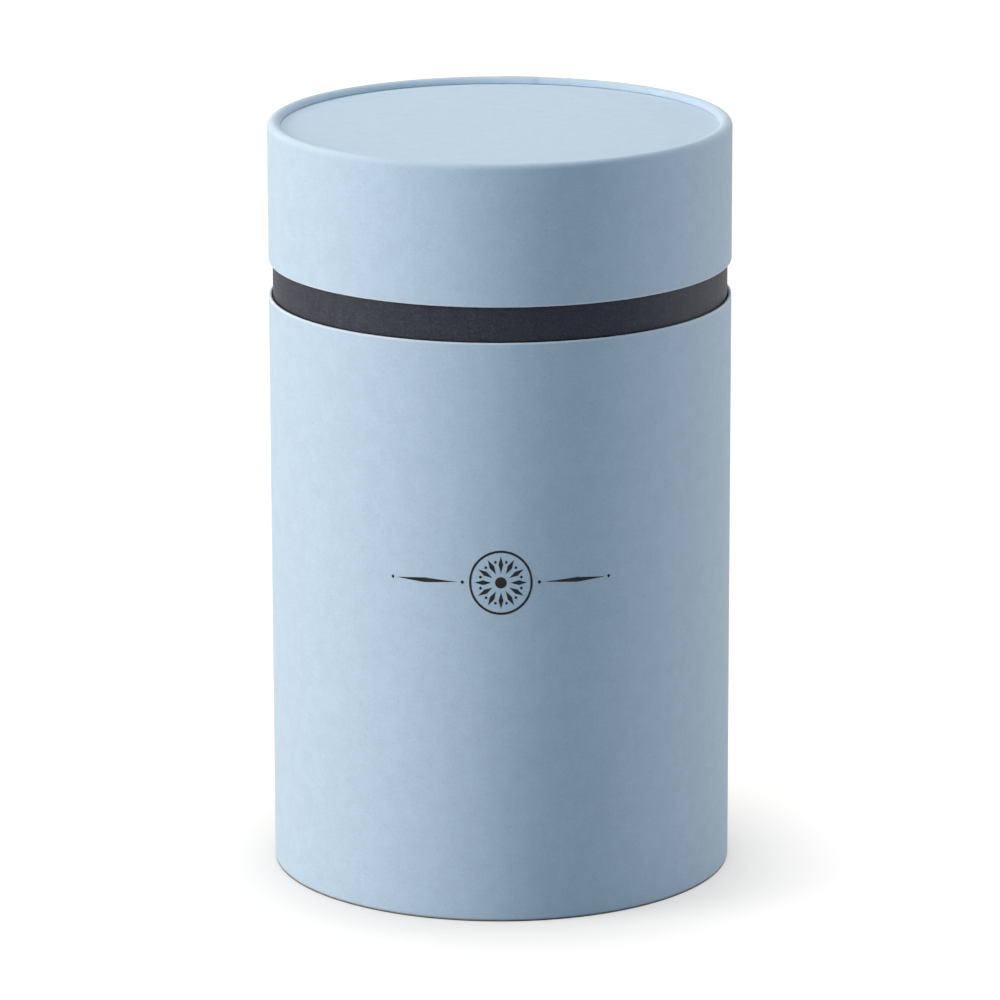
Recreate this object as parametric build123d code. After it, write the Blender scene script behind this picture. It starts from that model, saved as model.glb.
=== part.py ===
from build123d import *
from math import cos, radians, sin
import os

# Gift tube box with a shoulder neck. A base and a lid are cut from the same wound board tube
# and covered in paper. An inner neck tube is glued into the base and stands up out of it:
# the lid slides over the neck and stops on the neck's rim, so a band of the neck stays in view.
# The lid's upper edge is rolled inwards until its tip presses on the sunk top disc.
# Millimetres, +Z up, origin at the centre of the underside.

# Overall form
outer_radius = 60.0
base_height = 152.0
band_height = 9.1
lid_height = 36.5

# Papers and boards
cover_paper = 0.13
lining_paper = 0.13
bottom_paper = 0.13
tube_board = 0.6
neck_board = 1.0
top_disc_board = 1.5
bottom_disc_board = 2.0

# Covering paper that is turned in round the tubes' edges
base_turn_in = 15.0
base_turn_under = 9.0
lid_turn_in = 12.0

# Rolled rim of the lid: half a turn, drawn in short flats that touch its true round
rim_roll_radius = 1.75
rim_flats = 4
rim_depth = 1.8

# Fits and margins
slip_clearance = 0.2
bottom_paper_margin = 1.2
ceiling_paper_margin = 0.6
floor_paper_clearance = 0.25

# Radii that follow: outside to inside
tube_radius = outer_radius - cover_paper
tube_bore = tube_radius - tube_board
turn_in_bore = tube_bore - cover_paper
neck_radius = turn_in_bore - slip_clearance
neck_board_radius = neck_radius - cover_paper
neck_board_bore = neck_board_radius - neck_board
neck_bore = neck_board_bore - lining_paper
roll_centre = outer_radius - rim_roll_radius

# Levels that follow: bottom to top
turn_under_low = bottom_paper
base_board_low = turn_under_low + cover_paper
floor_low = base_board_low + bottom_disc_board
lid_low = base_height + band_height
lid_high = lid_low + lid_height
roll_level = lid_high - rim_roll_radius
tip_level = lid_high - rim_depth
top_disc_low = tip_level - cover_paper - top_disc_board
neck_high = top_disc_low - lining_paper


def revolved(outline):
    """Body of revolution about the box's axis from a closed outline of (radius, level) points."""
    return revolve(Plane.XZ * make_face(Polyline(*outline, close=True)), Axis.Z)


def paper(skin, back):
    """Sheet of paper between its skin and its back, two runs of points in the same order."""
    return revolved([*skin, *reversed(back)])


def tube(radius, bore, low, high):
    """Plain wound tube with square-cut edges."""
    return revolved([(bore, low), (radius, low), (radius, high), (bore, high)])


def disc(radius, low, thickness):
    """Flat round blank."""
    return Pos(0, 0, low) * extrude(Circle(radius), thickness)


def rim_roll(depth):
    """Rolled rim at a depth below its skin: from the tip on the top disc, over to the outer wall."""
    half_step = 90 / rim_flats
    corner = (rim_roll_radius - depth) / cos(radians(half_step))
    angles = [180 - half_step * (2 * flat + 1) for flat in range(rim_flats)]
    over = [(roll_centre + corner * cos(radians(a)), roll_level + corner * sin(radians(a))) for a in angles]
    return [(roll_centre - rim_roll_radius + depth, tip_level), *over]


def lid_cover(depth):
    """Run of the lid's covering paper: over the rolled rim, down the wall and up inside."""
    return [
        *rim_roll(depth),
        (outer_radius - depth, lid_low + depth),
        (turn_in_bore + depth, lid_low + depth),
        (turn_in_bore + depth, lid_low + lid_turn_in),
    ]


def lid_tube():
    """Wound tube of the lid, its upper edge rolled into a hollow round."""
    skin = rim_roll(cover_paper)
    hollow = rim_roll(cover_paper + tube_board)
    edge = lid_low + cover_paper
    return revolved([*skin, (tube_radius, edge), (tube_bore, edge), *reversed(hollow)])


def base_cover(depth):
    """Run of the base's covering paper: turned in at the rim, down the wall and under the bottom disc."""
    return [
        (turn_in_bore + depth, base_height - base_turn_in),
        (turn_in_bore + depth, base_height - depth),
        (outer_radius - depth, base_height - depth),
        (outer_radius - depth, turn_under_low + depth),
        (outer_radius - base_turn_under, turn_under_low + depth),
    ]


def neck_cover(depth):
    """Run of the neck's covering paper: up from the bottom disc and over the rim to the lining."""
    return [
        (neck_radius - depth, floor_low),
        (neck_radius - depth, neck_high - depth),
        (neck_bore, neck_high - depth),
    ]


def build_pieces():
    """Every separate piece of the box by its name."""
    neck_edge = neck_high - cover_paper
    lid_disc = disc(tube_bore, top_disc_low, top_disc_board)
    return {
        "base_tube": tube(tube_radius, tube_bore, base_board_low, base_height - cover_paper),
        "base_wrap": paper(base_cover(0), base_cover(cover_paper)),
        "base_bottom_disc": disc(tube_bore, base_board_low, bottom_disc_board),
        "base_bottom_paper": disc(outer_radius - bottom_paper_margin, 0, bottom_paper),
        "neck_tube": tube(neck_board_radius, neck_board_bore, floor_low, neck_edge),
        "neck_wrap": paper(neck_cover(0), neck_cover(cover_paper)),
        "neck_lining": tube(neck_board_bore, neck_bore, floor_low, neck_edge),
        "floor_paper": disc(neck_bore - floor_paper_clearance, floor_low, lining_paper),
        "lid_tube": lid_tube(),
        "lid_wrap": paper(lid_cover(0), lid_cover(cover_paper)),
        "lid_top_disc": lid_disc,
        "lid_top_paper": disc(tube_bore, tip_level - cover_paper, cover_paper),
        "lid_ceiling_paper": disc(tube_bore - ceiling_paper_margin, neck_high, lining_paper),
    }


os.makedirs("parts", exist_ok=True)
for name, piece in build_pieces().items():
    export_step(piece, f"parts/{name}.step")
    print(f"{name}: {piece.volume:.1f} mm3")
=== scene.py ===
"""Studio scene of a round gift tube: a base, a dark shoulder neck and a lid with a rolled rim.

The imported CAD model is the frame. Papers, boards and foil are modelled over it in metres, each
piece rides on its CAD body, and a small white studio lights them.
"""

import logging
from collections.abc import Callable, Iterable
from dataclasses import asdict, dataclass, field
from enum import Enum
from math import asin, cos, hypot, pi, radians, sin
from typing import ClassVar

import bmesh
import bpy
from mathutils import Matrix, Vector


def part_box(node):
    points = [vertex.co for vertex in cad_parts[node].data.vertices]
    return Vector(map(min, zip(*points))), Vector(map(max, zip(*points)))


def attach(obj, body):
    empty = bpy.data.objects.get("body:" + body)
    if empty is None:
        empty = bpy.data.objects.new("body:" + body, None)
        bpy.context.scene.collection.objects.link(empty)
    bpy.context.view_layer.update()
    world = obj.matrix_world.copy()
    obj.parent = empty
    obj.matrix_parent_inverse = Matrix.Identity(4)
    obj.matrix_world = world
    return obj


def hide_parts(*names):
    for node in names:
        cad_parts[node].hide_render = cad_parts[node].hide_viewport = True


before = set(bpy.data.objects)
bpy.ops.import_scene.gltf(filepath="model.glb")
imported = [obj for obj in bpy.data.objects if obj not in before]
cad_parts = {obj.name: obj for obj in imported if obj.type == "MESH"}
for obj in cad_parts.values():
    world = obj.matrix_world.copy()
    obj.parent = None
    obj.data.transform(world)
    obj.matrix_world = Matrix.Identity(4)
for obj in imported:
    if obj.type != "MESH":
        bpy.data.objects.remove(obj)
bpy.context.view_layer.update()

log = logging.getLogger("gift_tube")

MM = 0.001
TURN_STEPS = 256
WHITE = 0.985
MERGE_WITHIN = 0.002 * MM
SHARP_FROM = radians(40.0)

Colour = tuple[float, float, float]
Place = tuple[float, float, float]
Socket = bpy.types.NodeSocket
PointTest = Callable[[Vector], bool]

ORIGIN: Place = (0.0, 0.0, 0.0)
PURE_WHITE: Colour = (1.0, 1.0, 1.0)
# Rubbed paper with a painted highlight: the pale lips along the lid's edge and the base's rim.
WORN_AND_HIGHLIGHT_BLUE: Colour = (0.88, 0.9, 0.93)
# A greyer, slightly darker blue laid along the crest of the lid's rolled rim.
CREST_GREYED_BLUE: Colour = (0.58, 0.655, 0.715)
# Painted shade: the dark line laid along the foot fold where the base stands on the floor.
PAINTED_SHADE_BLUE: Colour = (0.3, 0.37, 0.44)
RUBBED_CHARCOAL: Colour = (0.1, 0.11, 0.125)
# Painted shade: the dark lines laid on the neck under the lid's edge and above the base's rim.
PAINTED_SHADE_CHARCOAL: Colour = (0.004, 0.004, 0.006)


class Body(Enum):
    """The two bodies that the box comes apart into."""

    BASE = "base"
    LID = "lid"


class Slot(Enum):
    """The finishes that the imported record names."""

    COVER_PAPER = "cover_paper"
    NECK_PAPER = "neck_paper"
    BOARD = "board"


class Select(Enum):
    """What an edit-mode selection is made of."""

    VERTS = "VERT"
    EDGES = "EDGE"
    FACES = "FACE"

    def use(self) -> None:
        """Makes this the selection mode."""
        bpy.ops.mesh.select_mode(type=self.value)


@dataclass(frozen=True)
class Ring:
    """One corner of a turned outline, with the rounding that it gets."""

    radius: float
    level: float
    rounding: float = 0.0
    steps: int = 5

    def towards(self, other: "Ring", share: float) -> "Ring":
        """A plain ring at a share of the way to another one."""
        radius = self.radius + (other.radius - self.radius) * share
        return Ring(radius, self.level + (other.level - self.level) * share)


@dataclass(frozen=True)
class TubeSizes:
    """Radii, levels and stock of the box in metres, as the CAD nodes have them."""

    outer_radius: float
    tube_bore: float
    neck_radius: float
    lining_radius: float
    floor_radius: float
    bottom_radius: float
    ceiling_radius: float
    paper: float
    under_level: float
    floor_level: float
    base_rim: float
    neck_rim: float
    lid_edge: float
    tip_level: float
    lid_top: float
    skin_inset: float = 0.07 * MM  # Room under the CAD skin for the lap of the paper and for the foil.

    @classmethod
    def measured(cls) -> "TubeSizes":
        """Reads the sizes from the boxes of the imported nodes.

        Returns:
            The sizes.
        """
        low, high = {}, {}
        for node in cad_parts:
            low[node], high[node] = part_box(node)
        return cls(
            outer_radius=high["base_wrap"].x,
            tube_bore=high["lid_top_paper"].x,
            neck_radius=high["neck_wrap"].x,
            lining_radius=high["neck_lining"].x,
            floor_radius=high["floor_paper"].x,
            bottom_radius=high["base_bottom_paper"].x,
            ceiling_radius=high["lid_ceiling_paper"].x,
            paper=high["base_bottom_paper"].z - low["base_bottom_paper"].z,
            under_level=low["base_wrap"].z,
            floor_level=low["floor_paper"].z,
            base_rim=high["base_wrap"].z,
            neck_rim=high["neck_wrap"].z,
            lid_edge=low["lid_wrap"].z,
            tip_level=high["lid_top_paper"].z,
            lid_top=high["lid_wrap"].z,
        )

    @property
    def wall_radius(self) -> float:
        """Radius of the covered wall outside its lap."""
        return self.outer_radius - self.skin_inset

    @property
    def turn_in_bore(self) -> float:
        """Bore inside the paper that is turned in over the tube's edge."""
        return self.tube_bore - self.paper


# Modelling by hand


def deselect_everything() -> None:
    """Leaves edit mode and deselects every object."""
    if bpy.context.object and bpy.context.object.mode != "OBJECT":
        bpy.ops.object.mode_set(mode="OBJECT")
    bpy.ops.object.select_all(action="DESELECT")


def make_active(piece: bpy.types.Object) -> None:
    """Selects one object alone and makes it active.

    Args:
        piece: the object.
    """
    deselect_everything()
    piece.select_set(True)
    bpy.context.view_layer.objects.active = piece


def middle_of(edge: bmesh.types.BMEdge) -> Vector:
    """Middle of an edge."""
    return (edge.verts[0].co + edge.verts[1].co) / 2.0


def pick(piece: bpy.types.Object, kind: Select, test: PointTest) -> None:
    """Selects the edges or faces of a piece in edit mode by their place.

    Args:
        piece: the object that is in edit mode.
        kind: what to select.
        test: says of a point whether it is wanted; an edge needs its ends and its middle, a face its middle.
    """
    kind.use()
    bpy.ops.mesh.select_all(action="DESELECT")
    shape = bmesh.from_edit_mesh(piece.data)
    if kind is Select.EDGES:
        chosen = [e for e in shape.edges if all(map(test, (e.verts[0].co, e.verts[1].co, middle_of(e))))]
    else:
        chosen = [f for f in shape.faces if test(f.calc_center_median())]
    for part in chosen:
        part.select_set(True)
    shape.select_flush_mode()
    bmesh.update_edit_mesh(piece.data)


def clean_mesh() -> None:
    """Merges doubles and turns the faces outwards, in edit mode."""
    Select.VERTS.use()
    bpy.ops.mesh.select_all(action="SELECT")
    bpy.ops.mesh.remove_doubles(threshold=MERGE_WITHIN)
    bpy.ops.mesh.normals_make_consistent(inside=False)


def add_circle(
    name: str,
    radius: float,
    centre: Place,
    filled: bool = False,
    steps: int = TURN_STEPS,
    upright: bool = False,
    stretch: Place = (1.0, 1.0, 1.0),
) -> bpy.types.Object:
    """Adds a circle and opens it in edit mode with all of it selected.

    Args:
        name: name of the new object.
        radius: radius in metres.
        centre: its middle.
        filled: whether it is a face or only a ring of edges.
        steps: number of sides.
        upright: whether it faces the front instead of the top.
        stretch: its scale along its own axes.

    Returns:
        The new object, with its place in its mesh.
    """
    deselect_everything()
    bpy.ops.mesh.primitive_circle_add(
        vertices=steps,
        radius=radius,
        fill_type="NGON" if filled else "NOTHING",
        location=centre,
        rotation=(radians(90.0) if upright else 0.0, 0.0, 0.0),
    )
    piece = bpy.context.object
    piece.name = piece.data.name = name
    piece.scale = stretch
    bpy.ops.object.transform_apply(location=True, rotation=True, scale=True)
    bpy.ops.object.mode_set(mode="EDIT")
    bpy.ops.mesh.select_all(action="SELECT")
    return piece


def extrude_ring(start: Ring, end: Ring) -> None:
    """Extrudes the selected ring from one place to the next along a turned outline.

    Args:
        start: where the ring is.
        end: where it goes, with its new radius.
    """
    bpy.ops.mesh.extrude_region_move(TRANSFORM_OT_translate={"value": (0.0, 0.0, end.level - start.level)})
    if end.radius != start.radius:
        ratio = end.radius / start.radius
        bpy.ops.transform.resize(value=(ratio, ratio, 1.0), center_override=(0.0, 0.0, end.level))


def with_holding_rings(run: list[Ring], hold: float = 0.5 * MM, reach: float = 13.0 * MM) -> list[Ring]:
    """Adds plain rings along the legs of an outline, so that its walls shade evenly.

    Args:
        run: corners of the outline.
        hold: how far past a rounding the first ring lies.
        reach: the longest stretch without a ring.

    Returns:
        The outline with its holding rings.
    """
    held = [run[0]]
    for start, end in zip(run, run[1:]):
        length = hypot(end.radius - start.radius, end.level - start.level)
        first = start.rounding + hold if start.rounding else 0.0
        last = length - end.rounding - hold if end.rounding else length
        if last - first > hold:
            count = max(1, round((last - first) / reach))
            for step in range(count + 1):
                along = first + (last - first) * step / count
                if 0.0 < along < length:
                    held.append(start.towards(end, along / length))
        held.append(end)
    return held


def round_corners(piece: bpy.types.Object, run: Iterable[Ring], within: float = 0.01 * MM) -> None:
    """Bevels the rings of a turned outline that have a rounding.

    Args:
        piece: the turned piece, in edit mode.
        run: corners of its outline.
        within: how near to a corner an edge has to lie.
    """
    groups: dict[tuple[float, int], list[Ring]] = {}
    for corner in run:
        if corner.rounding:
            groups.setdefault((corner.rounding, corner.steps), []).append(corner)
    for (rounding, steps), corners in groups.items():

        def on_corner(point: Vector) -> bool:
            """Whether a point lies on one of the corner rings."""
            radius = hypot(point.x, point.y)
            return any(abs(radius - c.radius) < within and abs(point.z - c.level) < within for c in corners)

        pick(piece, Select.EDGES, on_corner)
        bpy.ops.mesh.bevel(offset=rounding, offset_type="OFFSET", segments=steps, profile=0.5, affect="EDGES")


def raise_lap(piece: bpy.types.Object, width: float, height: float) -> None:
    """Raises the strip at the back where the end of a paper laps over its beginning.

    The strip ends in a clean step on the axis plane and runs out softly on its other side.

    Args:
        piece: the turned sheet, in edit mode and with its faces turned outwards.
        width: width of the lap round the wall.
        height: how far the lap stands up.
    """
    column = 2.0 * pi / TURN_STEPS

    def turned(point: Vector) -> float:
        """Angle of a point from the back, in columns of the mesh."""
        return asin(max(-1.0, min(1.0, point.x / max(hypot(point.x, point.y), 1e-9)))) / column

    far = round(width / (hypot(*piece.data.vertices[0].co[:2]) * column))
    pick(piece, Select.FACES, lambda p: p.y > 0.0 and 0.0 < turned(p) < far)
    bpy.ops.mesh.extrude_region_shrink_fatten(TRANSFORM_OT_shrink_fatten={"value": height})
    shape = bmesh.from_edit_mesh(piece.data)
    raised = {v for face in shape.faces if face.select for v in face.verts}
    for face in shape.faces:
        face.select = False
    for vert in shape.verts:
        vert.select = vert in raised and abs(turned(vert.co) - far) < 0.4
    Select.VERTS.use()
    bmesh.update_edit_mesh(piece.data)
    bpy.ops.transform.shrink_fatten(value=-height)
    clean_mesh()


def apply_solidify(piece: bpy.types.Object, thickness: float) -> None:
    """Gives a sheet its thickness on the inner side.

    Args:
        piece: the sheet, its faces turned outwards.
        thickness: thickness in metres.
    """
    make_active(piece)
    wall = piece.modifiers.new("stock", "SOLIDIFY")
    wall.thickness = thickness
    wall.offset = -1.0
    wall.use_even_offset = True
    wall.use_rim = True
    bpy.ops.object.modifier_apply(modifier=wall.name)


def smooth_piece(piece: bpy.types.Object) -> None:
    """Smooths a piece, leaving its sharp edges sharp."""
    make_active(piece)
    bpy.ops.object.shade_smooth_by_angle(angle=SHARP_FROM)


def turned_sheet(
    name: str, run: list[Ring], thickness: float, lap_width: float = 0.0, lap_height: float = 0.0
) -> bpy.types.Object:
    """Models a sheet of paper or board that goes round the box's axis.

    Args:
        name: name of the piece.
        run: corners of the sheet's skin, from its inner end to its outer end.
        thickness: thickness of the sheet, behind its skin.
        lap_width: width of the lap at the back, or 0 for none.
        lap_height: how far the lap stands up.

    Returns:
        The finished piece.
    """
    held = with_holding_rings(run)
    piece = add_circle(name, held[0].radius, (0.0, 0.0, held[0].level))
    for start, end in zip(held, held[1:]):
        extrude_ring(start, end)
    clean_mesh()
    round_corners(piece, run)
    clean_mesh()
    if lap_width:
        raise_lap(piece, lap_width, lap_height)
    apply_solidify(piece, thickness)
    smooth_piece(piece)
    return piece


def flat_disc(
    name: str, radius: float, low: float, thickness: float, softened: float = 0.03 * MM
) -> bpy.types.Object:
    """Models a round blank of paper or board with softened edges.

    Args:
        name: name of the piece.
        radius: radius of the blank.
        low: level of its underside.
        thickness: its thickness.
        softened: rounding of its edges.

    Returns:
        The finished piece.
    """
    piece = add_circle(name, radius, (0.0, 0.0, low), filled=True)
    bpy.ops.mesh.extrude_region_move(TRANSFORM_OT_translate={"value": (0.0, 0.0, thickness)})
    round_corners(piece, [Ring(radius, low, softened, 2), Ring(radius, low + thickness, softened, 2)])
    pick(piece, Select.FACES, lambda p: hypot(p.x, p.y) < 0.5 * radius)
    for share in (0.006, 0.3, 0.3):
        bpy.ops.mesh.inset(thickness=radius * share)
    clean_mesh()
    smooth_piece(piece)
    return piece


def dress(piece: bpy.types.Object, material: bpy.types.Material) -> None:
    """Gives a piece or a CAD node its material."""
    piece.data.materials.clear()
    piece.data.materials.append(material)


# Nodes and finishes


class NodeBench:
    """Adds and wires nodes in one node tree."""

    def __init__(self, tree: bpy.types.NodeTree) -> None:
        """Starts work on a tree."""
        self.tree = tree

    def add(
        self, kind: str, settings: dict[str, object] | None = None, *values: object, **inputs: object
    ) -> bpy.types.Node:
        """Adds a node.

        Args:
            kind: the node's type without its prefix, such as "TexNoise".
            settings: properties of the node.
            values: its first inputs in their order, as values or sockets to link.
            inputs: its inputs by name, with _ for a space.

        Returns:
            The new node.
        """
        node = self.tree.nodes.new(("" if kind.startswith("Node") else "ShaderNode") + kind)
        for key, value in (settings or {}).items():
            setattr(node, key, value)
        for socket, value in zip(node.inputs, values):
            self.feed(socket, value)
        for key, value in inputs.items():
            self.feed(node.inputs[key.replace("_", " ")], value)
        return node

    def feed(self, socket: Socket, value: object) -> None:
        """Links a socket to an input, or sets the input's value.

        Args:
            socket: the input.
            value: a socket to link, or a plain value.
        """
        if isinstance(value, bpy.types.NodeSocket):
            self.tree.links.new(value, socket)
        else:
            socket.default_value = value

    def math(self, operation: str, *values: object) -> Socket:
        """Adds a Math node and returns its result."""
        return self.add("Math", {"operation": operation}, *values).outputs[0]

    def vector(self, operation: str, *values: object, result: str = "Vector") -> Socket:
        """Adds a Vector Math node and returns the named result."""
        return self.add("VectorMath", {"operation": operation}, *values).outputs[result]

    def span(
        self, value: Socket, low: object, high: object, start: object = 0.0, end: object = 1.0
    ) -> Socket:
        """Eases a value from one range to another and holds it there."""
        how = {"interpolation_type": "SMOOTHSTEP"}
        return self.add("MapRange", how, value, low, high, start, end).outputs[0]

    def group(self, tree: bpy.types.NodeTree, values: dict[str, float]) -> bpy.types.NodeOutputs:
        """Places a node group with its own values and returns its outputs."""
        return self.add("Group", {"node_tree": tree}, **values).outputs

    def blend(self, share: object, first: object, second: object) -> Socket:
        """Mixes two colours and returns the result.

        Args:
            share: share of the second colour.
            first: a colour or a socket.
            second: a colour or a socket.

        Returns:
            The mixed colour.
        """
        node = self.add("Mix", {"data_type": "RGBA"})
        self.feed(node.inputs["Factor"], share)
        self.feed(node.inputs[6], first)
        self.feed(node.inputs[7], second)
        return node.outputs[2]

    def tint(self, under: object, colour: Colour, mask: Socket, share: float) -> Socket:
        """Lays a colour over another where a mask shows, at a share of its strength."""
        return self.blend(self.math("MULTIPLY", mask, share), under, solid(colour))

    def clouded(self, colour: Colour, clouds: Socket, share: float) -> Socket:
        """A colour that drifts darker and lighter by a share with the clouds of the grain.

        Args:
            colour: the colour in the middle.
            clouds: the clouds of the grain.
            share: how far it drifts.

        Returns:
            The drifting colour.
        """
        deep = solid(tuple(c * (1.0 - share) for c in colour))
        light = solid(tuple(min(1.0, c * (1.0 + share)) for c in colour))
        return self.blend(self.span(clouds, 0.3, 0.7), deep, light)

    def seen_rays(self) -> Socket:
        """1 for the rays that show the surroundings: from the camera, in gloss and through glass.

        Returns:
            A value that is 1 for those rays and 0 for the light that falls on things.
        """
        ways = self.add("LightPath").outputs
        seen = self.math("MAXIMUM", ways["Is Camera Ray"], ways["Is Glossy Ray"])
        return self.math("MAXIMUM", seen, ways["Is Transmission Ray"])

    def surface(
        self, colour: Socket, rough: object, height: Socket, relief: float, depth: float, specular: float
    ) -> bpy.types.Node:
        """Ends a material in a Principled surface.

        Args:
            colour: its base colour.
            rough: its roughness, as a value or a socket.
            height: its relief as a height.
            relief: strength of the relief.
            depth: depth of the relief in metres.
            specular: its specular level.

        Returns:
            The Principled node.
        """
        bump = self.add("Bump", Strength=relief, Distance=depth, Height=height)
        shader = self.add("BsdfPrincipled", Base_Color=colour, Roughness=rough, Normal=bump.outputs[0])
        shader.inputs["Specular IOR Level"].default_value = specular
        self.add("OutputMaterial", Surface=shader.outputs[0])
        return shader


def solid(colour: Colour) -> tuple[float, float, float, float]:
    """A colour with full alpha."""
    return (*colour, 1.0)


def new_group(
    name: str, inputs: dict[str, float], outputs: Iterable[str]
) -> tuple[bpy.types.NodeTree, NodeBench]:
    """Starts a shader node group with named value sockets.

    Args:
        name: the group's name.
        inputs: input sockets with their standard values.
        outputs: output sockets.

    Returns:
        The group, and a bench to work on it.
    """
    group = bpy.data.node_groups.new(name, "ShaderNodeTree")
    for label, value in inputs.items():
        socket = group.interface.new_socket(label, in_out="INPUT", socket_type="NodeSocketFloat")
        socket.default_value = value
    for label in outputs:
        group.interface.new_socket(label, in_out="OUTPUT", socket_type="NodeSocketFloat")
    return group, NodeBench(group)


def fibre_mask(
    bench: NodeBench, where: Socket, per_metre: Socket, long_half: Socket, wide_half: Socket
) -> Socket:
    """Short straight fibres, one in each cell, each lying its own way.

    Args:
        bench: bench on the group.
        where: coordinates in metres.
        per_metre: cells in a metre.
        long_half: half the length of a fibre, in metres.
        wide_half: half its width, in metres.

    Returns:
        A mask that is 1 on a fibre.
    """
    shape = {"voronoi_dimensions": "3D", "feature": "F1"}
    cells = bench.add("TexVoronoi", shape, Vector=where, Scale=per_metre)
    way = bench.vector("NORMALIZE", bench.vector("SUBTRACT", cells.outputs["Color"], (0.5, 0.5, 0.5)))
    from_middle = bench.vector("SUBTRACT", where, cells.outputs["Position"])
    along = bench.vector("DOT_PRODUCT", from_middle, way, result="Value")
    stretched = bench.add("VectorMath", {"operation": "SCALE"}, way, Scale=along).outputs[0]
    off_line = bench.vector("LENGTH", bench.vector("SUBTRACT", from_middle, stretched), result="Value")
    narrow = bench.span(off_line, bench.math("MULTIPLY", wide_half, 0.4), wide_half, 1.0, 0.0)
    within = bench.math("MULTIPLY", long_half, 0.6)
    short = bench.span(bench.math("ABSOLUTE", along), within, long_half, 1.0, 0.0)
    return bench.math("MULTIPLY", narrow, short)


@dataclass(frozen=True)
class Grain:
    """Scales of the grain of a pulp sheet, under the names of the grain group's sockets."""

    cloud_scale: float = 240.0
    tooth_scale: float = 2400.0
    streak_scale: float = 2600.0
    fibres_per_metre: float = 900.0
    fibre_half: float = 0.45 * MM
    fibre_width: float = 0.09 * MM

    def sockets(self) -> dict[str, float]:
        """The values by the name of their socket."""
        return {label.replace("_", " ").title(): value for label, value in asdict(self).items()}


def build_paper_grain() -> bpy.types.NodeTree:
    """Grain of a pulp sheet: soft clouds, fine tooth, streaks along the web, and pale and dark fibres.

    Returns:
        The node group.
    """
    outputs = ("Clouds", "Tooth", "Streaks", "Pale Fibres", "Dark Fibres", "Relief")
    group, bench = new_group("pulp_grain", Grain().sockets(), outputs)
    given = bench.add("NodeGroupInput").outputs
    where = bench.add("TexCoord").outputs["Object"]
    drawn_out = bench.vector("MULTIPLY", where, (0.1, 0.1, 1.0))
    clouds, tooth, streaks = (
        bench.add("TexNoise", Vector=spot, Scale=given[scale], Detail=detail, Roughness=rough).outputs[0]
        for spot, scale, detail, rough in (
            (where, "Cloud Scale", 4.0, 0.6),
            (where, "Tooth Scale", 3.0, 0.65),
            (drawn_out, "Streak Scale", 3.0, 0.6),
        )
    )
    moved = bench.vector("ADD", where, (0.0131, 0.0277, 0.0093))
    widths = (given["Fibres Per Metre"], given["Fibre Half"], given["Fibre Width"])
    pale = fibre_mask(bench, where, *widths)
    dark = fibre_mask(bench, moved, *widths)
    relief = bench.math("MULTIPLY_ADD", pale, 0.5, tooth)
    relief = bench.math("MULTIPLY_ADD", dark, -0.35, relief)
    bench.add("NodeGroupOutput", None, clouds, tooth, streaks, pale, dark, relief)
    return group


def build_wear_and_shade_band() -> bpy.types.NodeTree:
    """Mask of a band along a level fold, broken into patches; it lays rubbed paper, painted shade and painted
    highlights.

    Returns:
        The node group.
    """
    group, bench = new_group("fold_wear", {"Fold Level": 0.0, "Reach": 0.7 * MM, "Patches": 90.0}, ("Wear",))
    given = bench.add("NodeGroupInput")
    where = bench.add("TexCoord").outputs["Object"]
    level = bench.add("SeparateXYZ", Vector=where).outputs["Z"]
    away = bench.math("ABSOLUTE", bench.math("SUBTRACT", level, given.outputs["Fold Level"]))
    near = bench.span(away, 0.0, given.outputs["Reach"], 1.0, 0.0)
    patches = bench.add("TexNoise", Vector=where, Scale=given.outputs["Patches"], Detail=5.0, Roughness=0.7)
    # Patchy strength of the band, for rubbed paper and for painted shade and highlights alike.
    rubbed = bench.span(patches.outputs[0], 0.3, 0.7, 0.6, 1.0)
    bench.add("NodeGroupOutput", None, bench.math("MULTIPLY", near, rubbed))
    return group


def build_wound_lines() -> bpy.types.NodeTree:
    """Mask of the butt line that a spirally wound ply leaves round a tube.

    Returns:
        The node group.
    """
    group, bench = new_group("wound_lines", {"Pitch": 0.06, "Line": 0.0003}, ("Lines",))
    given = bench.add("NodeGroupInput")
    axes = bench.add("SeparateXYZ", Vector=bench.add("TexCoord").outputs["Object"])
    turn = bench.math("DIVIDE", bench.math("ARCTAN2", axes.outputs["Y"], axes.outputs["X"]), 2.0 * pi)
    climb = bench.math("DIVIDE", axes.outputs["Z"], given.outputs["Pitch"])
    phase = bench.math("FRACT", bench.math("ADD", turn, bench.math("ADD", climb, 4.0)))
    off = bench.math("ABSOLUTE", bench.math("SUBTRACT", phase, 0.5))
    off = bench.math("MULTIPLY", off, given.outputs["Pitch"])
    bench.add("NodeGroupOutput", None, bench.span(off, 0.0, given.outputs["Line"], 1.0, 0.0))
    return group


def start_material(name: str) -> tuple[bpy.types.Material, NodeBench]:
    """Starts an empty node material and a bench on its nodes.

    Args:
        name: the material's name.

    Returns:
        The material, and a bench on its nodes.
    """
    material = bpy.data.materials.new(name)
    material.use_nodes = True
    material.node_tree.nodes.clear()
    return material, NodeBench(material.node_tree)


@dataclass(frozen=True)
class WearAndShadeLine:
    """A level band laid over a paper's colour: rubbed paper on some, painted shade or a painted highlight on
    others.
    """

    level: float
    share: float
    colour: Colour
    reach: float = 0.7 * MM


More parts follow.
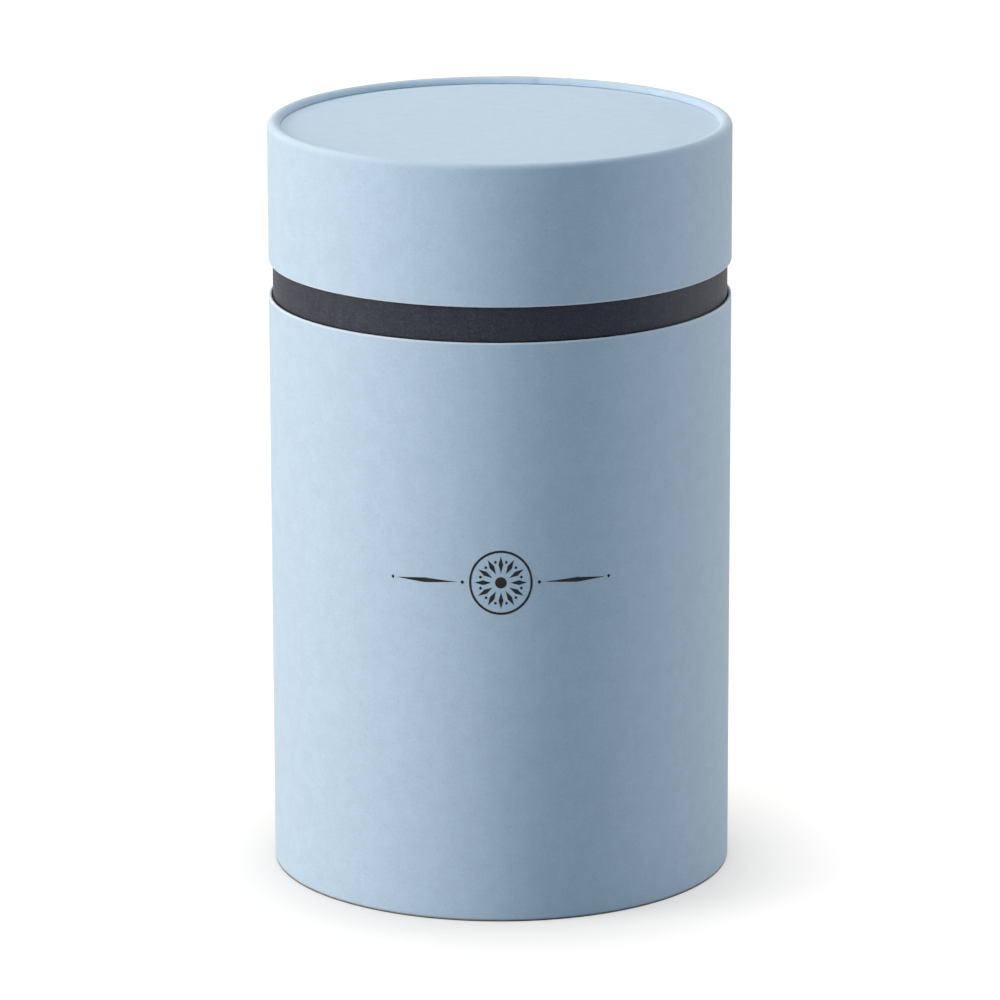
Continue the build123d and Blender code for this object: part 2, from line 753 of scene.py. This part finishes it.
@dataclass(frozen=True)
class PulpPaper:
    """A dyed uncoated paper: its colour, and how strongly its grain shows."""

    name: str
    grain: Grain
    colour: Colour
    pale_fibre: Colour
    dark_fibre: Colour
    pale_share: float
    dark_share: float
    cloud_share: float
    tooth_share: float
    streak_share: float
    roughness: float
    rough_spread: float
    specular: float
    relief: float
    relief_depth: float = 0.05 * MM
    sheen: float = 0.0
    sheen_spread: float = 0.45
    lines: tuple[WearAndShadeLine, ...] = ()

    def material(self, shared: "Finishes") -> bpy.types.Material:
        """Builds the material.

        Args:
            shared: the finishes, with their node groups.

        Returns:
            The new material.
        """
        material, bench = start_material(self.name)
        grain = bench.group(shared.grain, self.grain.sockets())
        colour = bench.clouded(self.colour, grain["Clouds"], self.cloud_share)
        for name, share in (("Tooth", self.tooth_share), ("Streaks", self.streak_share)):
            tone = bench.span(grain[name], 0.25, 0.75, 1.0 - share, 1.0 + share)
            tones = bench.add("CombineXYZ", X=tone, Y=tone, Z=tone).outputs[0]
            colour = bench.vector("MULTIPLY", colour, tones)
        colour = bench.tint(colour, self.pale_fibre, grain["Pale Fibres"], self.pale_share)
        colour = bench.tint(colour, self.dark_fibre, grain["Dark Fibres"], self.dark_share)
        # Level bands of rubbed paper, painted shade and painted highlight, laid over the colour.
        for line in self.lines:
            marked = bench.group(shared.wear, {"Fold Level": line.level, "Reach": line.reach})
            colour = bench.tint(colour, line.colour, marked["Wear"], line.share)
        smooth, coarse = self.roughness - self.rough_spread, self.roughness + self.rough_spread
        rough = bench.span(grain["Tooth"], 0.2, 0.8, smooth, coarse)
        height = grain["Relief"]
        shader = bench.surface(colour, rough, height, self.relief, self.relief_depth, self.specular)
        shader.inputs["Sheen Weight"].default_value = self.sheen
        shader.inputs["Sheen Roughness"].default_value = self.sheen_spread
        return material


@dataclass(frozen=True)
class Greyboard:
    """Raw board of recycled pulp, with the butt lines of its wound plies where it is a tube."""

    name: str
    wound: bool = True
    grain: Grain = Grain(160.0, 1500.0, fibres_per_metre=600.0, fibre_half=0.7 * MM, fibre_width=0.11 * MM)
    colour: Colour = (0.36, 0.31, 0.25)
    pale_fibre: Colour = (0.62, 0.57, 0.5)
    dark_fibre: Colour = (0.12, 0.1, 0.09)
    line_colour: Colour = (0.16, 0.13, 0.1)
    roughness: float = 0.9
    specular: float = 0.2
    relief: float = 0.5
    relief_depth: float = 0.06 * MM

    def material(self, shared: "Finishes") -> bpy.types.Material:
        """Builds the material.

        Args:
            shared: the finishes, with their node groups.

        Returns:
            The new material.
        """
        material, bench = start_material(self.name)
        grain = bench.group(shared.grain, self.grain.sockets())
        colour = bench.clouded(self.colour, grain["Clouds"], 0.14)
        colour = bench.tint(colour, self.pale_fibre, grain["Pale Fibres"], 0.35)
        colour = bench.tint(colour, self.dark_fibre, grain["Dark Fibres"], 0.4)
        height = grain["Relief"]
        if self.wound:
            lines = bench.group(shared.wound, {})["Lines"]
            colour = bench.tint(colour, self.line_colour, lines, 0.5)
            height = bench.math("SUBTRACT", height, lines)
        bench.surface(colour, self.roughness, height, self.relief, self.relief_depth, self.specular)
        return material


@dataclass(frozen=True)
class DarkFoil:
    """Hot-stamped pigment foil: nearly black, smooth, and lightly broken by the paper under it."""

    name: str = "dark_foil"
    grain: Grain = Grain(300.0, 2600.0)
    colour: Colour = (0.012, 0.0105, 0.0105)
    rubbed: Colour = (0.028, 0.023, 0.02)
    smooth: float = 0.32
    coarse: float = 0.52
    specular: float = 0.2
    relief: float = 0.12
    relief_depth: float = 0.03 * MM

    def material(self, shared: "Finishes") -> bpy.types.Material:
        """Builds the material.

        Args:
            shared: the finishes, with their node groups.

        Returns:
            The new material.
        """
        material, bench = start_material(self.name)
        grain = bench.group(shared.grain, self.grain.sockets())
        marked = bench.span(grain["Clouds"], 0.4, 0.75)
        colour = bench.blend(marked, solid(self.colour), solid(self.rubbed))
        rough = bench.span(grain["Tooth"], 0.25, 0.75, self.smooth, self.coarse)
        bench.surface(colour, rough, grain["Relief"], self.relief, self.relief_depth, self.specular)
        return material


@dataclass(frozen=True)
class StudioFloor:
    """White sweep that shows as white paper to the camera and keeps the object's soft shadow, deepened near
    the foot by painted shade.
    """

    name: str = "studio_floor"
    seen_colour: Colour = (0.327, 0.321, 0.322)
    # Painted contact shadow: the seen colour darkens to this right at the object's foot.
    crease_colour: Colour = (0.12, 0.165, 0.2)
    glow_colour: Colour = (1.0, 0.985, 0.955)
    bounce_colour: Colour = (0.5, 0.5, 0.5)
    lift: float = 0.84
    far_lift: float = 1.0
    lift_from: float = 0.5
    lift_to: float = 1.8
    shade: float = 0.66
    shade_reach: float = 38.0 * MM
    crease_from: float = 0.16
    crease_to: float = 0.52

    def material(self) -> bpy.types.Material:
        """Builds the material: a diffuse floor, lifted to white where the camera sees it.

        The lift fades where the object stands close, a painted soft contact shadow, and the seen colour
        darkens to a painted contact shadow right at the foot; the lift rises to white far out, where the
        lights no longer reach. From below the floor can't be seen.

        Returns:
            The new material.
        """
        material, bench = start_material(self.name)
        seen = bench.seen_rays()
        open_sky = bench.add("AmbientOcclusion", {"samples": 16}, Distance=self.shade_reach).outputs["AO"]
        # Painted contact shadow near the object's foot, from the occlusion there: it dims the lift and
        # darkens the seen colour.
        contact_shadow = bench.span(open_sky, self.crease_from, self.crease_to)
        shadow_halo = bench.math("MULTIPLY_ADD", open_sky, self.shade, 1.0 - self.shade)
        away = bench.vector("LENGTH", bench.add("TexCoord").outputs["Object"], result="Value")
        lift = bench.span(away, self.lift_from, self.lift_to, self.lift, self.far_lift)
        lifted = bench.math("MULTIPLY", bench.math("MULTIPLY", contact_shadow, shadow_halo), lift)
        shown = bench.blend(contact_shadow, solid(self.crease_colour), solid(self.seen_colour))
        diffuse = bench.add("BsdfDiffuse", Color=bench.blend(seen, solid(self.bounce_colour), shown))
        strength = bench.math("MULTIPLY", lifted, seen)
        glow = bench.add("Emission", Color=solid(self.glow_colour), Strength=strength)
        both = bench.add("AddShader", None, diffuse.outputs[0], glow.outputs[0]).outputs[0]
        under = bench.add("NewGeometry").outputs["Backfacing"]
        clear = bench.add("BsdfTransparent").outputs[0]
        sweep = bench.add("MixShader", None, under, both, clear).outputs[0]
        bench.add("OutputMaterial", Surface=sweep)
        return material


@dataclass
class Finishes:
    """Every finish of the box, and the node groups that the finishes share."""

    grain: bpy.types.NodeTree = field(default_factory=build_paper_grain)
    wear: bpy.types.NodeTree = field(default_factory=build_wear_and_shade_band)
    wound: bpy.types.NodeTree = field(default_factory=build_wound_lines)

    def blue_paper(self, name: str, lines: tuple[WearAndShadeLine, ...] = ()) -> bpy.types.Material:
        """The light blue covering paper, with its level bands of rubbing, painted shade and painted
        highlight.

        Args:
            name: the material's name.
            lines: its bands of rubbing, painted shade and painted highlight.

        Returns:
            The new material.
        """
        return PulpPaper(
            name=name,
            grain=Grain(230.0, 1900.0, fibres_per_metre=560.0, fibre_width=0.16 * MM),
            colour=(0.565, 0.672, 0.768),
            pale_fibre=(0.74, 0.81, 0.87),
            dark_fibre=(0.36, 0.46, 0.56),
            pale_share=0.62,
            dark_share=0.46,
            cloud_share=0.025,
            tooth_share=0.04,
            streak_share=0.012,
            roughness=0.72,
            rough_spread=0.06,
            specular=0.3,
            relief=0.5,
            sheen=0.08,
            lines=lines,
        ).material(self)

    def charcoal_paper(self, name: str, lines: tuple[WearAndShadeLine, ...] = ()) -> bpy.types.Material:
        """The charcoal paper of the neck, with pale flecks and its level bands of rubbing and painted shade.

        Args:
            name: the material's name.
            lines: its bands of rubbing and painted shade.

        Returns:
            The new material.
        """
        return PulpPaper(
            name=name,
            grain=Grain(300.0, 1500.0, fibres_per_metre=1550.0, fibre_half=0.5 * MM, fibre_width=0.11 * MM),
            colour=(0.0425, 0.0435, 0.056),
            pale_fibre=(0.13, 0.128, 0.135),
            dark_fibre=(0.004, 0.004, 0.006),
            pale_share=0.6,
            dark_share=0.4,
            cloud_share=0.1,
            tooth_share=0.25,
            streak_share=0.14,
            roughness=0.56,
            rough_spread=0.12,
            specular=0.14,
            relief=1.0,
            lines=lines,
        ).material(self)

    def board(self, name: str, wound: bool = True) -> bpy.types.Material:
        """The raw board of the tubes and discs."""
        return Greyboard(name, wound).material(self)


# Sub-assemblies


@dataclass
class SubAssembly:
    """Pieces that are built and dressed together and ride on one body."""

    sizes: TubeSizes
    pieces: dict[str, bpy.types.Object] = field(default_factory=dict)
    body: ClassVar[Body] = Body.BASE

    def keep(self, piece: bpy.types.Object, slot: Slot | None, *nodes: str) -> None:
        """Puts a finished piece on its body and hides the CAD nodes that it stands for.

        Args:
            piece: the piece.
            slot: not used.
            nodes: the CAD nodes that it replaces.
        """
        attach(piece, self.body.value)
        if nodes:
            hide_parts(*nodes)
        self.pieces[piece.name] = piece

    def sheet(
        self, name: str, node: str, slot: Slot, run: list[Ring], thickness: float, lap: float = 0.0
    ) -> None:
        """Models a sheet round the axis and keeps it.

        Args:
            name: name of the piece.
            node: the CAD node that it stands for.
            slot: the finish that the record names for it.
            run: corners of the sheet's skin, from its inner end to its outer end.
            thickness: thickness of the sheet, behind its skin.
            lap: width of its lap at the back, or 0 for none.
        """
        self.keep(turned_sheet(name, run, thickness, lap, self.sizes.skin_inset), slot, node)

    def paper_disc(self, name: str, node: str, slot: Slot, radius: float, low: float) -> None:
        """Models a paper disc and keeps it."""
        self.keep(flat_disc(name, radius, low, self.sizes.paper), slot, node)


@dataclass
class Base(SubAssembly):
    """The lower tube: wound board, covering paper, bottom disc and its paper."""

    turn_in: float = 15.0 * MM
    turn_under: float = 9.0 * MM
    fold: float = 0.36 * MM
    foot_fold: float = 0.8 * MM
    lap: float = 10.0 * MM

    def build(self) -> None:
        """Models the base's pieces over their CAD nodes."""
        s = self.sizes
        run = [
            Ring(s.turn_in_bore, s.base_rim - self.turn_in),
            Ring(s.turn_in_bore, s.base_rim, self.fold),
            Ring(s.wall_radius, s.base_rim, self.fold),
            Ring(s.wall_radius, s.under_level, self.foot_fold),
            Ring(s.outer_radius - self.turn_under, s.under_level),
        ]
        self.sheet("base_cover", "base_wrap", Slot.COVER_PAPER, run, s.paper, self.lap)
        skin, edge = s.wall_radius - s.paper, s.base_rim - s.paper
        run = [
            Ring(skin, s.under_level + s.paper, self.foot_fold - s.paper),
            Ring(skin, edge, self.fold - s.paper),
            Ring(s.tube_bore, edge),
        ]
        self.sheet("base_board", "base_tube", Slot.BOARD, run, skin - s.tube_bore)
        self.paper_disc("bottom_cover", "base_bottom_paper", Slot.COVER_PAPER, s.bottom_radius, 0.0)

    def dress(self, finishes: Finishes) -> None:
        """Gives the pieces and the carried-over bottom disc their materials.

        Args:
            finishes: the finishes of the box.
        """
        lines = (
            # Rubbed paper with a painted highlight on the lip of the base's rim.
            WearAndShadeLine(self.sizes.base_rim, 1.0, WORN_AND_HIGHLIGHT_BLUE),
            # Painted shade along the foot fold, where the base meets the floor.
            WearAndShadeLine(self.sizes.under_level, 0.9, PAINTED_SHADE_BLUE, 0.5 * MM),
        )
        dress(self.pieces["base_cover"], finishes.blue_paper("blue_paper_base", lines))
        dress(self.pieces["base_board"], finishes.board("greyboard_base"))
        dress(self.pieces["bottom_cover"], finishes.blue_paper("blue_paper_bottom"))
        dress(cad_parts["base_bottom_disc"], finishes.board("greyboard_bottom", wound=False))


@dataclass
class Neck(SubAssembly):
    """The shoulder neck: board tube, dark paper over its rim, lining and floor."""

    fold: float = 0.35 * MM
    lap: float = 8.0 * MM

    def build(self) -> None:
        """Models the neck's pieces over their CAD nodes."""
        s = self.sizes
        skin, bore = s.neck_radius - s.skin_inset, s.lining_radius - s.paper
        run = [Ring(bore, s.neck_rim), Ring(skin, s.neck_rim, self.fold), Ring(skin, s.floor_level)]
        self.sheet("neck_cover", "neck_wrap", Slot.NECK_PAPER, run, s.paper, self.lap)
        board, edge = skin - s.paper, s.neck_rim - s.paper
        run = [
            Ring(s.lining_radius, edge),
            Ring(board, edge, self.fold - s.paper),
            Ring(board, s.floor_level),
        ]
        self.sheet("neck_board", "neck_tube", Slot.BOARD, run, board - s.lining_radius)
        run = [Ring(bore, s.floor_level), Ring(bore, edge)]
        self.sheet("neck_inside", "neck_lining", Slot.NECK_PAPER, run, s.paper, self.lap)
        self.paper_disc("tube_floor", "floor_paper", Slot.NECK_PAPER, s.floor_radius, s.floor_level)

    def dress(self, finishes: Finishes) -> None:
        """Gives the pieces their materials.

        Args:
            finishes: the finishes of the box.
        """
        s = self.sizes
        lines = (
            WearAndShadeLine(s.neck_rim, 0.25, RUBBED_CHARCOAL),
            # Painted shade on the neck, where the base's rim and the lid's edge shadow it.
            WearAndShadeLine(s.base_rim, 0.9, PAINTED_SHADE_CHARCOAL, 0.45 * MM),
            WearAndShadeLine(s.lid_edge, 0.9, PAINTED_SHADE_CHARCOAL, 0.45 * MM),
        )
        dress(self.pieces["neck_cover"], finishes.charcoal_paper("charcoal_paper_neck", lines))
        lining = finishes.charcoal_paper("charcoal_paper_lining")
        dress(self.pieces["neck_inside"], lining)
        dress(self.pieces["tube_floor"], lining)
        dress(self.pieces["neck_board"], finishes.board("greyboard_neck"))


@dataclass
class Lid(SubAssembly):
    """The lid: board tube with a rolled rim, covering paper, sunk top disc and ceiling paper."""

    body: ClassVar[Body] = Body.LID
    turn_in: float = 12.0 * MM
    fold: float = 0.36 * MM
    roll_radius: float = 1.75 * MM
    roll_steps: int = 28
    tip_gap: float = 0.12 * MM
    board_gap: float = 0.01 * MM
    lap: float = 10.0 * MM

    def rolled_rim(self, depth: float) -> list[Ring]:
        """Rings over the rolled rim, from its tip just above the top disc to the outer wall.

        Args:
            depth: how far the run lies inside the roll's skin.

        Returns:
            The rings, the tip first.
        """
        s = self.sizes
        round_radius = self.roll_radius - s.skin_inset
        centre_radius = s.wall_radius - round_radius
        centre_level = s.lid_top - s.skin_inset - round_radius
        radius = round_radius - depth
        tip_angle = pi - asin((s.tip_level + self.tip_gap - centre_level) / radius)
        angles = [tip_angle * (1.0 - step / self.roll_steps) for step in range(self.roll_steps + 1)]
        return [Ring(centre_radius + radius * cos(a), centre_level + radius * sin(a)) for a in angles]

    def build(self) -> None:
        """Models the lid's pieces over their CAD nodes."""
        s = self.sizes
        run = [
            *self.rolled_rim(0.0),
            Ring(s.wall_radius, s.lid_edge, self.fold),
            Ring(s.turn_in_bore, s.lid_edge, self.fold),
            Ring(s.turn_in_bore, s.lid_edge + self.turn_in),
        ]
        self.sheet("lid_cover", "lid_wrap", Slot.COVER_PAPER, run, s.paper, self.lap)
        skin, edge = s.wall_radius - s.paper, s.lid_edge + s.paper
        run = [
            *self.rolled_rim(s.paper),
            Ring(skin, edge, self.fold - s.paper),
            Ring(s.tube_bore + self.board_gap, edge),
        ]
        self.sheet("lid_board", "lid_tube", Slot.BOARD, run, skin - s.tube_bore)
        top_low = s.tip_level - s.paper
        self.paper_disc("lid_top_cover", "lid_top_paper", Slot.COVER_PAPER, s.tube_bore, top_low)
        self.paper_disc("lid_ceiling", "lid_ceiling_paper", Slot.NECK_PAPER, s.ceiling_radius, s.neck_rim)

    def dress(self, finishes: Finishes) -> None:
        """Gives the pieces and the carried-over top disc their materials.

        Args:
            finishes: the finishes of the box.
        """
        lines = (
            # Rubbed paper with a painted highlight on the lip of the lid's edge.
            WearAndShadeLine(self.sizes.lid_edge, 0.9, WORN_AND_HIGHLIGHT_BLUE),
            # Greyer, slightly darker band along the crest of the rolled rim.
            WearAndShadeLine(self.sizes.lid_top, 0.65, CREST_GREYED_BLUE, 2.6 * MM),
        )
        dress(self.pieces["lid_cover"], finishes.blue_paper("blue_paper_lid", lines))
        dress(self.pieces["lid_top_cover"], finishes.blue_paper("blue_paper_top"))
        dress(self.pieces["lid_ceiling"], finishes.charcoal_paper("charcoal_paper_ceiling"))
        dress(self.pieces["lid_board"], finishes.board("greyboard_lid"))
        dress(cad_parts["lid_top_disc"], finishes.board("greyboard_top", wound=False))


@dataclass
class FoilOrnament(SubAssembly):
    """Stamped ornament on the front: a sun rosette in a thin ring between two tapered rules."""

    base: Base | None = None
    level: float = 90.0 * MM
    in_front: float = 2.0 * MM
    ring_radius: float = 8.4 * MM
    ring_line: float = 0.6 * MM
    ring_steps: int = 120
    heart_radius: float = 1.5 * MM
    heart_steps: int = 32
    ray_count: int = 12
    ray_reach: float = 4.704 * MM
    ray_length: float = 4.368 * MM
    ray_width: float = 1.25 * MM
    spark_reach: float = 5.544 * MM
    spark_size: float = 0.9 * MM
    rule_start: float = 11.5 * MM
    rule_length: float = 19.0 * MM
    rule_height: float = 1.25 * MM
    dot_size: float = 1.1 * MM
    dot_gap: float = 1.3 * MM
    division: float = 1.6 * MM
    foil: float = 0.03 * MM

    @property
    def middle(self) -> Place:
        """Middle of the rosette, in front of the wall where the flat foil is drawn."""
        return (0.0, -self.sizes.outer_radius - self.in_front, self.level)

    def lozenge(
        self, name: str, across: float, length: float, height: float, above: float = 0.0
    ) -> bpy.types.Object:
        """Draws an upright pointed lozenge in front of the wall.

        Args:
            name: name of the object.
            across: its middle across the wall.
            length: its length across the wall.
            height: its height.
            above: how far its middle lies above the rosette's.

        Returns:
            The flat lozenge, finely divided.
        """
        _, depth, level = self.middle
        centre = (across, depth, level + above)
        piece = add_circle(name, 0.5, centre, True, 4, True, (length, height, 1.0))
        bpy.ops.mesh.subdivide(number_cuts=max(2, round(length / self.division)))
        bpy.ops.object.mode_set(mode="OBJECT")
        return piece

    def band(self, name: str, outer: float, inner: float, steps: int) -> bpy.types.Object:
        """Draws a flat ring, or a dot where the inner radius is 0, in front of the wall.

        Args:
            name: name of the object.
            outer: outer radius.
            inner: inner radius, or 0.
            steps: number of sides.

        Returns:
            The flat ring.
        """
        piece = add_circle(name, outer, self.middle, not inner, steps, True)
        if inner:
            ratio = inner / outer
            bpy.ops.mesh.extrude_region_move(TRANSFORM_OT_translate={"value": ORIGIN})
            bpy.ops.transform.resize(value=(ratio, 1.0, ratio), center_override=self.middle)
        else:
            bpy.ops.mesh.inset(thickness=0.4 * outer)
        bpy.ops.object.mode_set(mode="OBJECT")
        return piece

    def turned_copies(self, piece: bpy.types.Object, count: int) -> list[bpy.types.Object]:
        """Copies a piece evenly round the rosette's middle, each copy with its own mesh.

        Args:
            piece: the first of them.
            count: how many there are in the end.

        Returns:
            The piece and its copies.
        """
        copies = [piece]
        for index in range(1, count):
            make_active(piece)
            bpy.ops.object.duplicate(linked=False)
            copies.append(bpy.context.object)
            bpy.ops.object.mode_set(mode="EDIT")
            bpy.ops.mesh.select_all(action="SELECT")
            turn = 2.0 * pi * index / count
            bpy.ops.transform.rotate(value=turn, orient_axis="Y", center_override=self.middle)
            bpy.ops.object.mode_set(mode="OBJECT")
        return copies

    def stamp(self, name: str, parts: list[bpy.types.Object]) -> None:
        """Joins flat parts, lays them on the wall and gives them the foil's thickness.

        Args:
            name: name of the piece.
            parts: the flat parts, in front of the wall.
        """
        deselect_everything()
        for part in parts:
            part.select_set(True)
        bpy.context.view_layer.objects.active = parts[0]
        if len(parts) > 1:
            bpy.ops.object.join()
        piece = bpy.context.object
        piece.name = piece.data.name = name
        bpy.ops.object.mode_set(mode="EDIT")
        bpy.ops.mesh.select_all(action="SELECT")
        bpy.ops.mesh.remove_doubles(threshold=0.5 * MERGE_WITHIN)
        shape = bmesh.from_edit_mesh(piece.data)
        shape.normal_update()
        for face in shape.faces:
            face.select = face.normal.y > 0.0
        bmesh.update_edit_mesh(piece.data)
        bpy.ops.mesh.flip_normals()
        bpy.ops.object.mode_set(mode="OBJECT")
        laid = piece.modifiers.new("laid", "SHRINKWRAP")
        laid.target = self.base.pieces["base_cover"]
        laid.wrap_method = "NEAREST_SURFACEPOINT"
        laid.wrap_mode = "ABOVE_SURFACE"
        laid.offset = self.foil
        bpy.ops.object.modifier_apply(modifier=laid.name)
        apply_solidify(piece, 1.3 * self.foil)
        smooth_piece(piece)
        self.keep(piece, None)

    def build(self) -> None:
        """Draws the rosette and the rules and stamps them on the wall."""
        ray = self.lozenge("ray", self.ray_reach, self.ray_length, self.ray_width)
        parts = self.turned_copies(ray, self.ray_count)
        between = pi / self.ray_count
        across, above = self.spark_reach * cos(between), self.spark_reach * sin(between)
        spark = self.lozenge("spark", across, self.spark_size, self.spark_size, above)
        parts += self.turned_copies(spark, self.ray_count)
        parts.append(self.band("heart", self.heart_radius, 0.0, self.heart_steps))
        self.stamp("foil_rosette", parts)
        inner = self.ring_radius - self.ring_line
        self.stamp("foil_ring", [self.band("outer_ring", self.ring_radius, inner, self.ring_steps)])
        half = 0.5 * self.rule_length
        rules = []
        for side in (-1.0, 1.0):
            across = self.rule_start + half
            rules.append(self.lozenge("rule", side * across, self.rule_length, self.rule_height))
            for end in (-1.0, 1.0):
                dot_across = side * (across + end * (half + self.dot_gap))
                rules.append(self.lozenge("dot", dot_across, self.dot_size, self.dot_size))
        self.stamp("foil_rules", rules)

    def dress(self, finishes: Finishes) -> None:
        """Gives the ornament its foil.

        Args:
            finishes: the finishes of the box.
        """
        foil = DarkFoil().material(finishes)
        for piece in self.pieces.values():
            dress(piece, foil)


# Studio


@dataclass(frozen=True)
class Softbox:
    """A rectangular soft light, placed by its direction from the box."""

    name: str
    azimuth: float
    elevation: float
    distance: float
    width: float
    height: float
    level: float
    colour: Colour = PURE_WHITE

    def build(self, target: Vector) -> None:
        """Adds the light, turned to the target and set to its level of light there.

        Args:
            target: the point that it faces.
        """
        turn, rise = radians(self.azimuth), radians(self.elevation)
        way = Vector((sin(turn) * cos(rise), -cos(turn) * cos(rise), sin(rise)))
        spot = target + way * self.distance
        aim = (-way).to_track_quat("-Z", "Y").to_euler()
        deselect_everything()
        bpy.ops.object.light_add(type="AREA", location=spot, rotation=aim)
        lamp = bpy.context.object
        lamp.name = lamp.data.name = self.name
        lamp.data.shape = "RECTANGLE"
        lamp.data.size, lamp.data.size_y = self.width, self.height
        lamp.data.energy = self.level * pi * pi * self.distance**2
        lamp.data.color = self.colour


@dataclass
class Studio:
    """Floor, soft lights, surroundings and the camera at the photograph's viewpoint."""

    sizes: TubeSizes
    floor_radius: float = 6.0
    floor_opening: float = 57.0 * MM
    camera_place: Place = (-0.17 * MM, -1558.2 * MM, 501.55 * MM)
    camera_pitch: float = 0.25462
    camera_roll: float = -0.00245
    lens: float = 221.62
    sensor: float = 36.0
    clip: tuple[float, float] = (0.05, 60.0)
    fill: Colour = (0.086, 0.09, 0.092)
    softboxes: tuple[Softbox, ...] = (
        Softbox("key_left", -75.5, 19.0, 1.6, 0.67, 1.2, 0.85, (1.0, 0.992, 0.975)),
        Softbox("kicker_right", 103.0, 3.0, 1.2, 0.4, 0.5, 0.385, (0.93, 0.96, 1.0)),
        Softbox("top_back", 196.0, 68.0, 1.3, 0.9, 1.5, 0.615, (0.995, 0.99, 0.98)),
        Softbox("front_fill", 0.0, 38.0, 2.2, 1.5, 1.5, 0.228, (0.35, 0.68, 1.0)),
        Softbox("under_fill", 0.0, -90.0, 1.2, 1.0, 1.0, 0.8),
    )

    def build_camera(self) -> None:
        """Adds the camera at the photograph's viewing angle."""
        deselect_everything()
        bpy.ops.object.camera_add()
        camera = bpy.context.object
        camera.name = camera.data.name = "photograph_view"
        camera.data.sensor_width = self.sensor
        camera.data.lens = self.lens
        camera.data.clip_start, camera.data.clip_end = self.clip
        tilt = Matrix.Rotation(0.5 * pi - self.camera_pitch, 4, "X")
        roll = Matrix.Rotation(self.camera_roll, 4, "Z")
        camera.matrix_world = Matrix.Translation(self.camera_place) @ tilt @ roll
        bpy.context.scene.camera = camera

    def build_surroundings(self) -> None:
        """Sets a dim fill for the object behind a background that shows white."""
        world = bpy.data.worlds.new("studio_surroundings")
        bpy.context.scene.world = world
        world.use_nodes = True
        world.node_tree.nodes.clear()
        bench = NodeBench(world.node_tree)
        fill = bench.add("Background", Color=solid(self.fill), Strength=1.0).outputs[0]
        white = bench.add("Background", Color=solid(PURE_WHITE), Strength=WHITE).outputs[0]
        either = bench.add("MixShader", None, bench.seen_rays(), fill, white).outputs[0]
        bench.add("OutputWorld", Surface=either)

    def build_floor(self) -> None:
        """Adds the floor, open under the box's foot so that light from below reaches the underside."""
        opening, edge = Ring(self.floor_opening, 0.0), Ring(self.floor_radius, 0.0)
        floor = add_circle("studio_floor", opening.radius, ORIGIN)
        extrude_ring(opening, edge)
        pick(floor, Select.FACES, lambda p: True)
        if next(iter(bmesh.from_edit_mesh(floor.data).faces)).normal.z < 0.0:
            bpy.ops.mesh.flip_normals()
        bpy.ops.object.mode_set(mode="OBJECT")
        dress(floor, StudioFloor().material())

    def build(self) -> None:
        """Builds the floor, the lights, the surroundings and the camera."""
        self.build_floor()
        target = Vector((0.0, 0.0, 0.5 * self.sizes.lid_top))
        for softbox in self.softboxes:
            softbox.build(target)
        self.build_surroundings()
        self.build_camera()
        bpy.context.scene.view_settings.view_transform = "Standard"


def report(assembly: SubAssembly) -> None:
    """Logs the pieces of a sub-assembly with their face counts."""
    for piece in assembly.pieces.values():
        log.info("%s: %s has %d faces", type(assembly).__name__, piece.name, len(piece.data.polygons))


def main() -> None:
    """Builds the box and its studio in order."""
    logging.basicConfig(level=logging.INFO, format="%(name)s %(message)s")
    sizes = TubeSizes.measured()
    finishes = Finishes()
    base = Base(sizes)
    for assembly in (base, Neck(sizes), Lid(sizes), FoilOrnament(sizes, base=base)):
        assembly.build()
        assembly.dress(finishes)
        report(assembly)
    Studio(sizes).build()
    deselect_everything()


if __name__ == "__main__":
    main()
